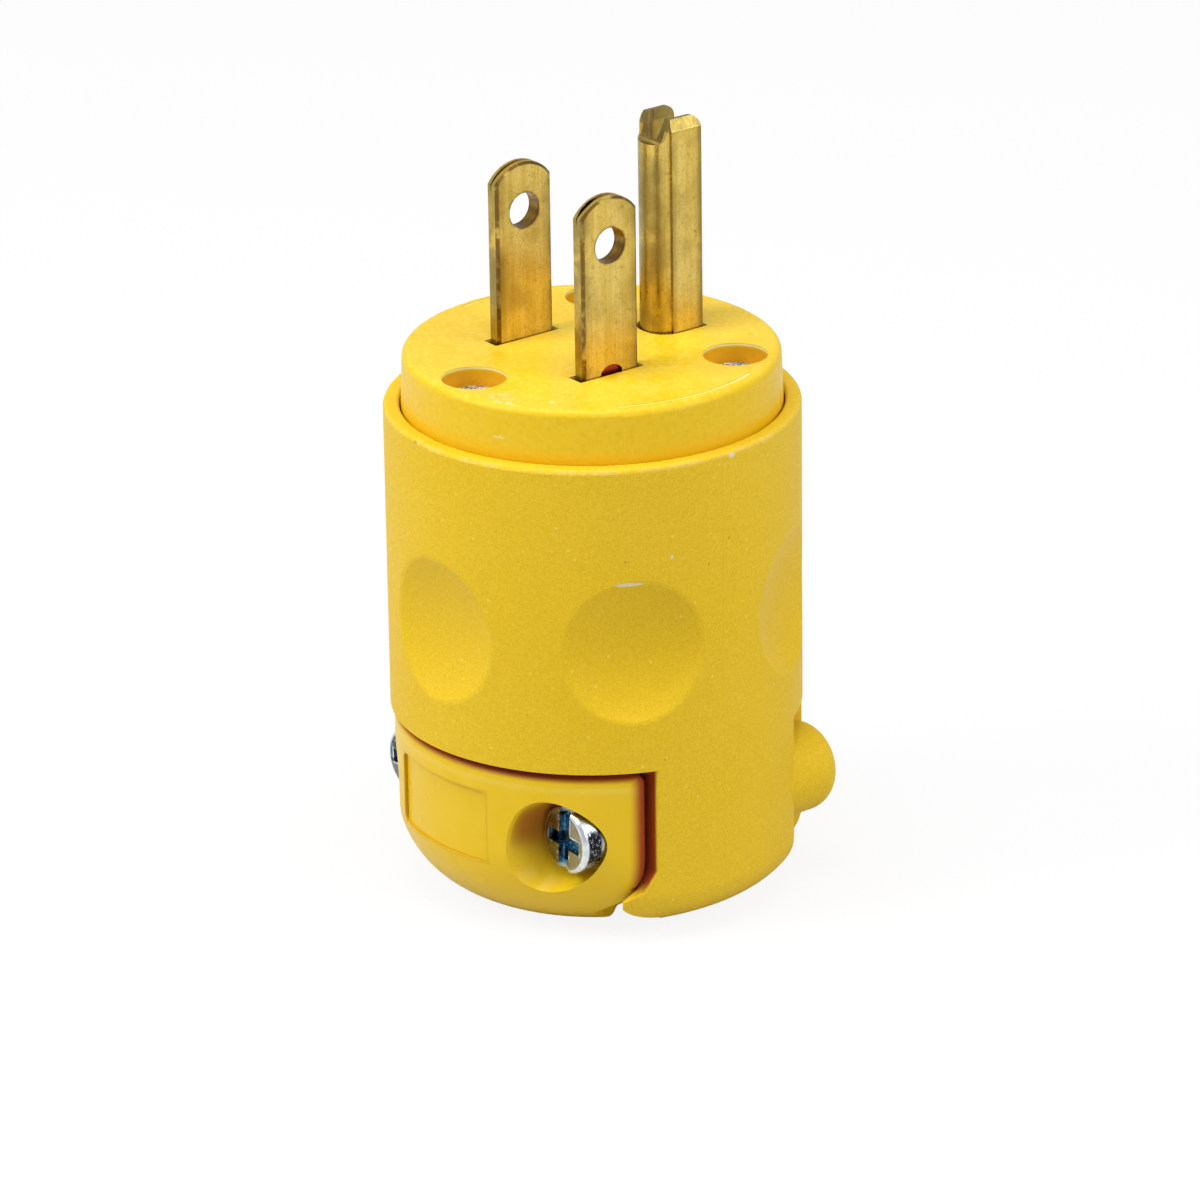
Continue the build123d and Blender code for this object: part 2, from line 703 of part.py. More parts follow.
def all_parts():
    parts = {
        "rear_body": rear_body(),
        "front_face": front_face(),
        "terminal_retainer": terminal_retainer(),
        "hot_blade": blade(1),
        "neutral_blade": blade(-1),
        "ground_pin": ground_pin(),
        "cord_clamp": cord_clamp(),
    }
    places = {"hot": (terminal_x, blade_y), "neutral": (-terminal_x, blade_y),
              "ground": (0, ground_terminal_y)}
    for name, place in places.items():
        parts[name + "_terminal_screw"] = terminal_screw(*place)
        parts[name + "_pressure_plate"] = pressure_plate(*place)
    for name, angle in zip(face_screw_names, face_screw_angles):
        parts[name] = face_screw(angle)
    for name, piece in (("clamp_screw", clamp_screw()), ("clamp_nut", clamp_nut())):
        parts[name + "_right"], parts[name + "_left"] = both_sides(piece)
    return parts


os.makedirs("parts", exist_ok=True)
for name, piece in all_parts().items():
    export_step(piece, os.path.join("parts", name + ".step"))
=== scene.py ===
import bpy
import bmesh
from math import radians
from mathutils import Euler, Matrix, Vector

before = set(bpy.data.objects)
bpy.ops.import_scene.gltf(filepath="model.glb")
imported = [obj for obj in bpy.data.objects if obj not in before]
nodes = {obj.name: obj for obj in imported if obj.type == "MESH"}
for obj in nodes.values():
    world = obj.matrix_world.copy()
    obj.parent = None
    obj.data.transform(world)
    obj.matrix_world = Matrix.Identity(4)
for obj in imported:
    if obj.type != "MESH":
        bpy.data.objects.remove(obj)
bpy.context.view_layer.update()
mm = 0.001
print("frame loaded:", len(nodes), "nodes")


class Wire:
    # a socket whose sums, products and powers add Math nodes
    def __init__(self, look, socket):
        self.look = look
        self.socket = socket

    def join(self, operation, first, second):
        return self.look.node("ShaderNodeMath", {"operation": operation}, {0: first, 1: second})

    def __add__(self, other):
        return self.join("ADD", self, other)

    def __sub__(self, other):
        return self.join("SUBTRACT", self, other)

    def __rsub__(self, other):
        return self.join("SUBTRACT", other, self)

    def __mul__(self, other):
        return self.join("MULTIPLY", self, other)

    def __pow__(self, other):
        return self.join("POWER", self, other)

    __radd__ = __add__
    __rmul__ = __mul__

    def most(self, other):
        return self.join("MAXIMUM", self, other)

    def least(self, other):
        return self.join("MINIMUM", self, other)

    def size(self):
        return self.join("ABSOLUTE", self, 0.0)

    def reach(self, other):
        # length of the slant over two distances at right angles
        return (self ** 2.0 + other ** 2.0) ** 0.5

    def step(self, low, high, bottom=0.0, top=1.0):
        # smooth step from bottom to top as the value goes from low to high
        return self.look.node("ShaderNodeMapRange", {"interpolation_type": "SMOOTHSTEP"}, {
            "Value": self, "From Min": low, "From Max": high, "To Min": bottom, "To Max": top})


class Look:
    # the node tree of a material or of the world
    def __init__(self, owner):
        owner.use_nodes = True
        self.tree = owner.node_tree
        self.tree.nodes.clear()

    def node(self, kind, settings=None, values=None, out=0):
        made = self.tree.nodes.new(kind)
        for key, value in (settings or {}).items():
            setattr(made, key, value)
        for key, value in (values or {}).items():
            if isinstance(value, Wire):
                self.tree.links.new(value.socket, made.inputs[key])
            else:
                made.inputs[key].default_value = value
        return Wire(self, made.outputs[out]) if made.outputs else made

    def place(self, scale=(1, 1, 1), shift=(0, 0, 0)):
        return self.node("ShaderNodeMapping", {}, {
            "Vector": self.node("ShaderNodeTexCoord", out="Object"),
            "Scale": scale, "Location": shift})

    def axes(self):
        split = self.node("ShaderNodeSeparateXYZ", {}, {
            0: self.node("ShaderNodeTexCoord", out="Object")})
        return [Wire(self, split.socket.node.outputs[axis]) for axis in "XYZ"]

    def patch(self, middle, size):
        # 1 in the middle of an ellipsoid given in mm, and 0 outside it
        scale = [1 / (side * mm) for side in size]
        shift = [-place / side for place, side in zip(middle, size)]
        inside = self.node("ShaderNodeVectorMath", {"operation": "LENGTH"}, {
            0: self.place(scale, shift)}, out=1)
        return inside.step(1.0, 0.55)

    def noise(self, scale, detail=2.0, rough=0.5, at=None):
        return self.node("ShaderNodeTexNoise", {}, {
            "Vector": at or self.place(), "Scale": scale, "Detail": detail, "Roughness": rough})

    def noises(self, table, at=None):
        return {name: self.noise(*row, at=at) for name, row in table.items()}

    def specks(self, cells, dots, spread, gather, shift=(0, 0, 0)):
        # dots in the middles of small cells, gathered where a broad noise is high
        where = self.noise(spread, 1, at=self.place(shift=shift)).step(*gather)
        grid = self.node("ShaderNodeTexVoronoi", {}, {"Vector": self.place(), "Scale": cells})
        return grid.step(*dots) * where

    def mix(self, factor, first, second):
        return self.node("ShaderNodeMix", {"data_type": "RGBA"},
                         {0: factor, 6: first, 7: second}, out=2)

    def layers(self, colour, parts, rows, tints):
        # each row: share, tint, and what limits it, a mask or a pattern with its range
        for share, tint, *limits in rows:
            for limit in limits:
                mask = parts[limit] if isinstance(limit, str) else parts[limit[0]].step(*limit[1:])
                share = share * mask
            colour = self.mix(share, colour, tints[tint])
        return colour

    def marks(self, colour, grit, rows, tints):
        # rubbed and dirty places, broken up by the grit
        for middle, size, share, tint in rows:
            colour = self.mix(self.patch(middle, size) * grit * share, colour, tints[tint])
        return colour

    def bump(self, height, strength, distance, under=None):
        values = {"Height": height, "Strength": strength, "Distance": distance}
        if under:
            values["Normal"] = under
        return self.node("ShaderNodeBump", {}, values)

    def surface(self, values):
        shader = self.node("ShaderNodeBsdfPrincipled", {}, values)
        self.node("ShaderNodeOutputMaterial", {}, {"Surface": shader})


def newLook(name):
    material = bpy.data.materials.new(name)
    return material, Look(material)


def dress(material, *names):
    for name in names:
        for slot in nodes[name].material_slots:
            slot.material = material


# In the dictionaries below, a noise has its scale, detail and roughness, and a pair
# of lengths says between which two of them a mask comes in.

plastic = {
    "yellow": (0.75, 0.492, 0.008, 1),
    "pale": (0.86, 0.64, 0.11, 1),
    "chalk": (0.72, 0.66, 0.52, 1),
    "dark": (0.30, 0.16, 0.02, 1),
    # painted shade: darker orange round the edge of the clamp's recessed panel
    "edge": (0.50, 0.25, 0.008, 1),
    # painted shade: dark red in the gaps round the clamp
    "gapShade": (0.30, 0.045, 0.006, 1),      # in the gaps round the clamp
    # painted shade: red down in the gap round the face
    "redShade": (0.80, 0.16, 0.005, 1),        # down in the gap round the face
}

body = {
    "noises": {
        "broad": (55, 3),
        "grain": (5200, 3, 0.65),
        "middling": (2600, 3, 0.7),
        "coarse": (1500, 3, 0.6),
        "scrapes": (700, 4, 0.7),
    },
    "flecks": {"cells": 800, "dots": (0.16, 0.08), "spread": 420, "gather": (0.46, 0.58)},
    "specks": {"cells": 420, "dots": (0.060, 0.030), "spread": 110, "gather": (0.60, 0.64),
               "shift": (3.1, 1.7, 0.4)},
    "wornFoot": (46.15 * mm, 46.50 * mm),     # heights of the worn band below the rim
    "wornTop": (46.73 * mm, 46.65 * mm),
    "bayWall": (-6.84 * mm, -6.88 * mm),
    "bayTop": (17.26 * mm, 17.22 * mm),
    "bayToe": (4.5 * mm, 6.0 * mm),
    "bayDepth": (19.15 * mm, 18.75 * mm),
    "boreWall": (17.76 * mm, 17.72 * mm),
    "boreTop": (46.35 * mm, 45.75 * mm),
    "boreFoot": (36.0 * mm, 37.0 * mm),
    "seam": (0.13 * mm, 0.05 * mm),
    "wear": [
        (0.08, "pale", ("broad", 0.30, 0.70)),
        (0.14, "dark", ("grain", 0.60, 0.36)),
        (0.08, "pale", ("middling", 0.50, 0.62)),
        (0.04, "dark", ("middling", 0.48, 0.38)),
        (0.60, "pale", "flecks"),
        (0.55, "dark", "specks"),
        (0.14, "chalk", "worn", ("scrapes", 0.40, 0.64)),
    ],
    "grit": (0.30, 0.50),
    "marks": [
        # middle and size in mm, share, tint
        ((16.90, -9.06, 35.64), (1.10, 1.90, 0.26), 0.90, "chalk"),
        ((19.17, 1.04, 46.33), (0.40, 0.45, 0.30), 0.75, "chalk"),
        ((18.44, -5.35, 37.88), (0.20, 0.20, 0.20), 0.80, "chalk"),
        ((-8.14, -17.39, 33.59), (0.50, 0.50, 0.16), 0.60, "chalk"),
        ((19.19, 0.62, 38.44), (0.16, 0.16, 0.16), 0.60, "dark"),
        ((19.13, -1.66, 36.47), (0.14, 0.14, 0.20), 0.60, "dark"),
        ((16.75, -9.38, 37.90), (0.14, 0.14, 0.14), 0.55, "dark"),
        ((-1.38, -19.15, 46.49), (0.40, 0.40, 0.14), 0.50, "dark"),
    ],
    # painted shade: dark red on the bay wall round the clamp, red down in the gap round the face
    "paintedShading": [
        (1.0, "gapShade", "bay"),
        (1.0, "redShade", "bore"),
    ],
    "roughness": (0.3, 0.7, 0.48, 0.58),
    "specular": 0.18,
    "grainHeight": 0.6,       # of the middling and coarse grain beside the fine one
    "seamHeight": 0.5,
    "fleckHeight": 0.6,
    "bump": (0.50, 0.08 * mm),
}


def grainPlastic():
    # moulded housing with a fine spark finish, worn a little at the rim, with painted shade on the
    # bay wall round the clamp and painted red shade down in the gap round the face
    material, look = newLook("bodyPlastic")
    x, y, z = look.axes()
    radius = x.reach(y)
    parts = look.noises(body["noises"])
    parts["flecks"] = look.specks(**body["flecks"])
    parts["specks"] = look.specks(**body["specks"])
    parts["worn"] = z.step(*body["wornFoot"]) * z.step(*body["wornTop"])
    # where the painted shade on the bay wall goes
    parts["bay"] = y.step(*body["bayWall"]) * z.step(*body["bayTop"]) \
        * z.step(*body["bayToe"]) * radius.step(*body["bayDepth"])
    # where the painted red shade down in the gap round the face goes
    parts["bore"] = radius.step(*body["boreWall"]) * z.step(*body["boreTop"]) \
        * z.step(*body["boreFoot"])
    colour = look.layers(plastic["yellow"], parts, body["wear"], plastic)
    colour = look.marks(colour, parts["coarse"].step(*body["grit"]), body["marks"], plastic)
    # the painted shade in the gaps
    colour = look.layers(colour, parts, body["paintedShading"], plastic)
    seam = y.size().step(*body["seam"])
    grain = parts["grain"] + (parts["middling"] + parts["coarse"]) * body["grainHeight"]
    raised = seam * body["seamHeight"] + parts["flecks"] * body["fleckHeight"]
    look.surface({
        "Base Color": colour,
        "Roughness": parts["coarse"].step(*body["roughness"]),
        "Specular IOR Level": body["specular"],
        "Normal": look.bump(raised, *body["bump"], look.bump(grain, *body["bump"])),
    })
    return material


face = {
    # painted warm shade in the screw holes
    "holeShadeTint": (0.80, 0.38, 0.005, 1),
    # painted warm shade at the drum's foot, towards the gap
    "footShadeTint": (0.86, 0.47, 0.003, 1),
    # painted highlight: pale in the arc groove on the face
    "grooveHighlight": (0.97, 0.84, 0.36, 1),
    "noises": {"cloudy": (420, 4), "peel": (1900, 2)},
    "specks": {"cells": 300, "dots": (0.055, 0.030), "spread": 90, "gather": (0.56, 0.60)},
    # pale clouds are stronger on the flat top, where they paint its sheen
    "top": (51.40 * mm, 51.65 * mm, 0.25, 1.0),   # fewer pale clouds below the flat top
    "within": (16.55 * mm, 16.45 * mm),
    "grooveTop": (51.68 * mm, 51.60 * mm),
    "grooveFoot": (51.40 * mm, 51.50 * mm),
    "hole": (51.40 * mm, 51.20 * mm),
    # heights of the painted warm shade at the foot
    "foot": (48.40 * mm, 46.60 * mm),
    # heights of the painted red shade down in the gap
    "gap": (46.40 * mm, 45.40 * mm),
    "wear": [
        # pale mottling, partly a painted sheen on the flat top
        (0.26, "pale", ("cloudy", 0.30, 0.70), "top"),
        (0.30, "pale", ("peel", 0.52, 0.64), "top"),
        (0.07, "dark", ("peel", 0.46, 0.36)),
        (0.50, "dark", "specks"),
    ],
    "grit": (0.42, 0.60),
    "marks": [
        ((6.68, -16.01, 48.65), (1.5, 0.7, 0.12), 0.50, "chalk"),
        ((8.96, -14.85, 47.40), (0.14, 0.14, 0.6), 0.50, "chalk"),
        ((6.2, -14.6, 51.7), (2.2, 1.2, 0.2), 0.35, "chalk"),
        ((9.5, -11.8, 51.7), (0.30, 0.30, 0.2), 0.50, "chalk"),
    ],
    # painted light and shade: a highlight in the groove, warm shade in the holes and at the foot,
    # red shade in the gap
    "paintedShading": [
        (1.0, "grooveHighlight", "groove"),
        (0.9, "holeShadeTint", "hole"),
        (0.6, "footShadeTint", "foot"),
        (1.0, "redShade", "gap"),
    ],
    "roughness": (0.3, 0.7, 0.34, 0.44),
    "specular": 0.21,
    "cloudHeight": 0.8,
    "bump": (0.30, 0.12 * mm),
}


def facePlastic():
    # smooth moulded face, with a painted highlight in its grooves, painted warm shade in its holes
    # and at its foot, and painted red shade down in the gap; its flat top is paler where a sheen is
    # painted
    material, look = newLook("facePlastic")
    x, y, z = look.axes()
    within = x.reach(y).step(*face["within"])
    parts = look.noises(face["noises"])
    parts["specks"] = look.specks(**face["specks"])
    # where the painted sheen of the flat top goes
    parts["top"] = z.step(*face["top"])
    # where the painted highlight in the groove goes
    parts["groove"] = within * z.step(*face["grooveTop"]) * z.step(*face["grooveFoot"])
    # where the painted warm shade in the holes goes
    parts["hole"] = within * z.step(*face["hole"])
    # where the painted warm shade at the foot goes
    parts["foot"] = z.step(*face["foot"])
    # where the painted red shade in the gap goes
    parts["gap"] = z.step(*face["gap"])
    tints = plastic | face
    colour = look.layers(plastic["yellow"], parts, face["wear"], tints)
    colour = look.marks(colour, parts["peel"].step(*face["grit"]), face["marks"], tints)
    # the painted highlight and shade
    colour = look.layers(colour, parts, face["paintedShading"], tints)
    look.surface({
        "Base Color": colour,
        "Roughness": parts["cloudy"].step(*face["roughness"]),
        "Specular IOR Level": face["specular"],
        "Normal": look.bump(parts["peel"] + parts["cloudy"] * face["cloudHeight"], *face["bump"]),
    })
    return material


clamp = {
    # painted shade in the screw pockets
    "pocketShade": (0.36, 0.11, 0.006, 1),
    "noises": {"cloudy": (500, 3)},
    "specks": {"cells": 360, "dots": (0.050, 0.028), "spread": 100, "gather": (0.57, 0.61)},
    "screwX": 12.0 * mm,
    "screwZ": 10.0 * mm,
    "panelX": 6.3 * mm,       # half the width of the panel
    "panelZ": 10.65 * mm,     # height of its middle
    "panelUp": 3.55 * mm,     # half its height
    # painted shade round the edge of the recessed panel
    "outline": (0.26 * mm, 0.06 * mm),
    "outlineFront": (-15.5 * mm, -16.5 * mm),
    # heights of a painted highlight along the clamp's top edge
    "edgeFoot": (14.85 * mm, 15.35 * mm),
    "edgeTop": (15.85 * mm, 15.55 * mm),
    # where painted shade darkens the clamp into its gaps, at the top and at the ends
    "gapTop": (16.00 * mm, 16.55 * mm),
    "gapEnd": (-9.15 * mm, -8.00 * mm),
    "gapFoot": (2.4 * mm, 3.9 * mm),
    # where the painted pocket shade goes
    "pocket": (4.2 * mm, 3.6 * mm),
    "pocketDepth": (-18.2 * mm, -15.0 * mm),
    "pocketSkin": (18.65 * mm, 18.25 * mm),
    "pocketUp": (-3.2 * mm, 0.5 * mm, 0.35, 1.0),     # darker in its upper half
    "layers": [
        (0.10, "pale", ("cloudy", 0.30, 0.70)),
        (0.50, "dark", "specks"),
        # painted highlight along the top edge, then painted shade in the pockets, the gaps and round
        # the panel
        (0.25, "pale", "topEdgeHighlight"),
        (0.90, "pocketShade", "pocket"),
        (1.00, "gapShade", "gap"),
        (0.30, "edge", "outline"),
    ],
    "roughness": (0.3, 0.7, 0.27, 0.36),
    "dull": 0.35,             # added roughness in the gaps and pockets
    "specular": 0.19,
    "bump": (0.06, 0.12 * mm),
}


def fromScrew(look):
    # sideways and upwards from the nearer one of the clamp's two screws
    x, y, z = look.axes()
    return x.size() - clamp["screwX"], z - clamp["screwZ"]


def clampPlastic():
    # glossier than the body, with painted shade where it faces into its gaps, in its screw pockets
    # and round its panel, and a painted highlight along its top edge
    material, look = newLook("clampPlastic")
    x, y, z = look.axes()
    sideways, upwards = fromScrew(look)
    parts = look.noises(clamp["noises"])
    parts["specks"] = look.specks(**clamp["specks"])
    # painted highlight along the top edge
    parts["topEdgeHighlight"] = z.step(*clamp["edgeFoot"]) * z.step(*clamp["edgeTop"])
    # painted shade where the clamp faces into its gaps
    parts["gap"] = z.step(*clamp["gapTop"]).most(
        y.step(*clamp["gapEnd"]) * z.step(*clamp["gapFoot"]))
    # painted shade in the screw pockets, darker in their upper half
    parts["pocket"] = sideways.reach(upwards).step(*clamp["pocket"]) \
        * y.step(*clamp["pocketDepth"]) * upwards.step(*clamp["pocketUp"]) \
        * x.reach(y).step(*clamp["pocketSkin"])
    fromPanel = (x.size() - clamp["panelX"]).most(
        (z - clamp["panelZ"]).size() - clamp["panelUp"])
    # painted shade round the panel's edge, on the front only
    parts["outline"] = fromPanel.size().step(*clamp["outline"]) * y.step(*clamp["outlineFront"])
    dull = parts["gap"].most(parts["pocket"]) * clamp["dull"]
    look.surface({
        "Base Color": look.layers(plastic["yellow"], parts, clamp["layers"], plastic | clamp),
        "Roughness": parts["cloudy"].step(*clamp["roughness"]) + dull,
        "Specular IOR Level": clamp["specular"],
        "Normal": look.bump(parts["cloudy"], *clamp["bump"]),
    })
    return material


brass = {
    "clean": (0.64, 0.44, 0.080, 1),
    "bright": (0.80, 0.63, 0.21, 1),
    "dull": (0.34, 0.22, 0.038, 1),
    "olive": (0.27, 0.20, 0.055, 1),
    "brown": (0.15, 0.075, 0.015, 1),
    "black": (0.030, 0.018, 0.006, 1),
    # red of the shaded face, painted as a reflection at a blade's foot
    "redShade": (0.34, 0.055, 0.030, 1),
    "along": (1, 1, 0.04),    # draws the rolled noises out along Z
    "rolled": {"streaks": (1100, 3, 0.6), "fine": (6000, 2, 0.6)},
    "noises": {"patches": (240, 4, 0.6), "grit": (3600, 3, 0.7), "spots": (1300, 3, 0.7)},
    "layers": [
        (0.55, "bright", ("streaks", 0.34, 0.70)),
        (0.25, "dull", ("fine", 0.46, 0.34)),
        (0.40, "dull", ("patches", 0.44, 0.68)),
        (0.75, "olive", "edge", ("patches", 0.25, 0.60)),
        (0.35, "dull", ("grit", 0.50, 0.66)),
        (0.45, "brown", ("spots", 0.56, 0.78)),
    ],
    "roughness": (0.35, 0.7, 0.24, 0.40),
    "gritHeight": 0.5,
    "bump": (0.35, 0.04 * mm),
}


def rolledBrass(name, strip, findParts):
    # strip brass with marks of rolling along Z, tarnished in patches and darker olive towards its
    # edges
    material, look = newLook(name)
    parts = look.noises(brass["rolled"], look.place(scale=brass["along"]))
    for more in (look.noises(brass["noises"]), look.noises(strip["noises"]), findParts(look)):
        parts.update(more)
    rows = brass["layers"] + strip["layers"]
    look.surface({
        "Base Color": look.layers(brass["clean"], parts, rows, brass),
        "Metallic": 1.0,
        "Roughness": parts["patches"].step(*brass["roughness"]),
        "Normal": look.bump(parts["fine"] + parts["grit"] * brass["gritHeight"], *brass["bump"]),
    })
    return material


blade = {
    "x": 6.35 * mm,
    "y": -3.19 * mm,
    "holeZ": 63.95 * mm,
    "noises": {"rimGrit": (1100, 3), "bevelGrit": (900, 3), "sideGrit": (700, 3),
               "foldGrit": (1600, 3)},
    "edge": (1.9 * mm, 3.0 * mm),
    # reach of a painted dark reflection on the hole's walls
    "holeWall": (1.76 * mm, 1.70 * mm),
    "holeRim": (1.98 * mm, 1.73 * mm),
    "bevelInner": (0.48 * mm, 0.52 * mm),
    "bevelOuter": (0.755 * mm, 0.72 * mm),
    "bevelSide": (2.78 * mm, 2.93 * mm),
    "narrowSide": (3.10 * mm, 3.16 * mm),
    # a painted shadow that widens the open end of the fold
    "foldShadow": ((6.35, -4.9, 67.7), (0.36, 1.7, 1.7)),   # middle and size in mm
    # where the red of the shaded face is painted as a reflection at one blade's foot
    "footSkin": (0.55 * mm, 0.48 * mm),
    "footX": (0.3 * mm, 0.4 * mm),
    "footWidth": (1.35 * mm, 1.25 * mm),
    "footHeight": (52.8 * mm, 52.6 * mm),
    "layers": [
        # painted dark reflection on the hole's walls
        (0.8, "brown", "holeWall"),
        (0.6, "brown", "holeRim", ("rimGrit", 0.40, 0.60)),
        (0.9, "brown", "bevel", ("bevelGrit", 0.28, 0.52)),
        (0.7, "olive", "narrowSide", ("sideGrit", 0.35, 0.60)),
        # painted shadow at the open end of the fold
        (1.0, "black", "foldShadow", ("foldGrit", 0.25, 0.45)),
        # painted red reflection of the shaded face
        (1.0, "redShade", "foot"),
    ],
}


def bladeParts(look):
    # painted dark reflection on the walls of the hole, darker bevels and hole rims, a painted shadow
    # at the open end of the fold, and the red of the shaded face painted as a reflection at one
    # blade's foot
    x, y, z = look.axes()
    across = (x.size() - blade["x"]).size()
    along = (y - blade["y"]).size()
    fromHole = (y - blade["y"]).reach(z - blade["holeZ"])
    return {
        "edge": along.step(*blade["edge"]),
        "holeWall": fromHole.step(*blade["holeWall"]),
        "holeRim": fromHole.step(*blade["holeRim"]),
        "bevel": across.step(*blade["bevelInner"])
        * across.step(*blade["bevelOuter"]).most(along.step(*blade["bevelSide"])),
        "narrowSide": along.step(*blade["narrowSide"]),
        # where the painted shadow of the fold goes
        "foldShadow": look.patch(*blade["foldShadow"]),
        # where the painted red reflection at the foot goes
        "foot": (x - blade["x"]).step(*blade["footSkin"]) * x.step(*blade["footX"])
        * along.step(*blade["footWidth"]) * z.step(*blade["footHeight"]),
    }


ground = {
    "noises": {"smooth": (500, 3), "tipGrit": (1400, 3, 0.7)},
    "front": (7.45 * mm, 6.75 * mm),
    "back": (10.55 * mm, 10.95 * mm),
    "insideX": (1.60 * mm, 1.50 * mm),
    "insideY": (6.95 * mm, 7.15 * mm),
    "legBack": (10.2 * mm, 11.0 * mm),
    "legFront": (8.5 * mm, 7.5 * mm),
    "legSkin": (1.9 * mm, 2.2 * mm),
    "tips": (70.90 * mm, 71.15 * mm),
    "bendPatch": ((-0.7, 6.6, 62), (1.2, 1.6, 16)),       # middle and size in mm
    "layers": [
        (0.80, "brown", "inside"),
        (0.75, "olive", "legEdges", ("smooth", 0.25, 0.55)),
        (1.00, "olive", "tips", ("tipGrit", 0.25, 0.55, 0.55, 0.95)),
        (0.60, "olive", "bendPatch", ("smooth", 0.20, 0.60)),
    ],
}


def groundParts(look):
    # inside of the fold, the legs' edges, their tips and a broad darker olive patch on the bend
    x, y, z = look.axes()
    return {
        "edge": y.step(*ground["front"]).most(y.step(*ground["back"])),
        "inside": x.size().step(*ground["insideX"]) * y.step(*ground["insideY"]),
        "legEdges": y.step(*ground["legBack"]).most(y.step(*ground["legFront"]))
        * x.size().step(*ground["legSkin"]),
        "tips": z.step(*ground["tips"]),
        "bendPatch": look.patch(*ground["bendPatch"]),
    }


zinc = {
    "light": (0.68, 0.74, 0.79, 1),
    "grey": (0.36, 0.38, 0.39, 1),
    # straw and slate are painted reflections on the heads' tops
    "straw": (0.27, 0.235, 0.11, 1),
    "slate": (0.055, 0.085, 0.10, 1),
    "blue": (0.045, 0.24, 0.40, 1),
    "black": (0.010, 0.012, 0.016, 1),
    "noises": {"mottle": (4200, 3, 0.75), "cloudy": (1100, 3, 0.6)},
    # which head gets which painted reflection
    "sides": (-1 * mm, 1 * mm),           # slate on the left screw, straw on the right one
    "recessDepth": (-13.10 * mm, -12.90 * mm),
    "recessEdge": (2.85 * mm, 2.60 * mm),
    # painted shade at the ends of the recess
    "recessEndShade": (1.45 * mm, 1.85 * mm),
    # painted glints in the recess
    "recessGlint": (0.50, 0.64),
    "recessShare": 0.8,
    "lean": 0.07,             # the recess is turned a little
    "slotHalf": 0.75 * mm,
    "crossHalf": 0.65 * mm,
    "crossLong": 2.25 * mm,
    # painted glints in a thin line round the edges of the recess
    "glintInner": (-0.02 * mm, 0.04 * mm),
    "glintOuter": (0.20 * mm, 0.12 * mm),
    "rim": (2.72 * mm, 2.84 * mm),
    "rimGrey": (0.3, 0.7),
    "rimShare": 0.5,
    # where a painted dark reflection runs in a mottled band on the head's side
    "bandTop": (-12.8 * mm, -12.6 * mm),
    "bandFoot": (-10.9 * mm, -11.4 * mm),
    "bandLong": (2.0 * mm, 1.3 * mm),
    "layers": [
        (0.5, "grey", ("cloudy", 0.45, 0.62)),
        # painted glints in the recess, painted shade at its ends, painted glints round its edges and
        # a painted dark reflection on the side
        (1.0, "recessTint", "recess"),
        (1.0, "black", "recess", "recessEndShade", ("cloudy", 0.56, 0.42)),
        (1.0, "light", "edgeGlint", ("cloudy", 0.46, 0.56)),
        (1.0, "rimTint", "rim"),
        (1.0, "black", "band", ("mottle", 0.70, 0.54)),
    ],
    "roughness": (0.3, 0.7, 0.20, 0.36),
    "cloudHeight": 0.5,
    "bump": (0.30, 0.05 * mm),
}


def brightZinc():
    # clamp screws: tops painted as reflections, a blue recess with painted glints and painted shade
    # at its ends, painted glints round its edges, a bright rim, and a mottled side with a painted
    # dark reflection
    material, look = newLook("brightZinc")
    x, y, z = look.axes()
    sideways, upwards = fromScrew(look)
    off = sideways.reach(upwards)
    slotAlong = (sideways * zinc["lean"] + upwards).size()
    slotAcross = (sideways - upwards * zinc["lean"]).size()
    fromRecess = (slotAcross - zinc["slotHalf"]).least(
        (slotAcross - zinc["crossLong"]).most(slotAlong - zinc["crossHalf"]))
    parts = look.noises(zinc["noises"])
    parts["recess"] = y.step(*zinc["recessDepth"]) * off.step(*zinc["recessEdge"])
    # painted shade at the ends of the recess
    parts["recessEndShade"] = off.step(*zinc["recessEndShade"])
    # painted glints round the edges of the recess
    parts["edgeGlint"] = fromRecess.step(*zinc["glintInner"]) * fromRecess.step(*zinc["glintOuter"])
    parts["rim"] = off.step(*zinc["rim"])
    # painted dark reflection in a mottled band on the side
    parts["band"] = parts["rim"] * y.step(*zinc["bandTop"]) * y.step(*zinc["bandFoot"]) \
        * upwards.size().step(*zinc["bandLong"])
    # painted glints in the recess
    recessGlint = parts["mottle"].step(*zinc["recessGlint"]) * zinc["recessShare"]
    rimGrey = parts["cloudy"].step(*zinc["rimGrey"]) * zinc["rimShare"]
    tints = zinc | {
        "recessTint": look.mix(recessGlint, zinc["blue"], zinc["light"]),
        "rimTint": look.mix(rimGrey, zinc["light"], zinc["grey"]),
    }
    # the tops of the heads, painted as reflections
    top = look.mix(x.step(*zinc["sides"]), zinc["slate"], zinc["straw"])
    look.surface({
        "Base Color": look.layers(top, parts, zinc["layers"], tints),
        "Metallic": 1.0,
        "Roughness": parts["cloudy"].step(*zinc["roughness"]),
        "Normal": look.bump(parts["mottle"] + parts["cloudy"] * zinc["cloudHeight"], *zinc["bump"]),
    })
    return material


chewed = {
    "light": (0.82, 0.87, 0.92, 1),
    "dark": (0.12, 0.13, 0.14, 1),
    "noise": (1900, 4, 0.8),
    "darkFrom": (0.50, 0.42),
    "roughness": (0.3, 0.7, 0.18, 0.40),
    "bump": (0.9, 0.30 * mm),
}


def chewedZinc():
    # screws of the face, with a rough bumped head whose light and dark mottling is painted as glints
    # and dark reflections
    material, look = newLook("chewedZinc")
    rough = look.noise(*chewed["noise"])
    look.surface({
        "Base Color": look.mix(rough.step(*chewed["darkFrom"]), chewed["light"], chewed["dark"]),
        "Metallic": 1.0,
        "Roughness": rough.step(*chewed["roughness"]),
        "Normal": look.bump(rough, *chewed["bump"]),
    })
    return material


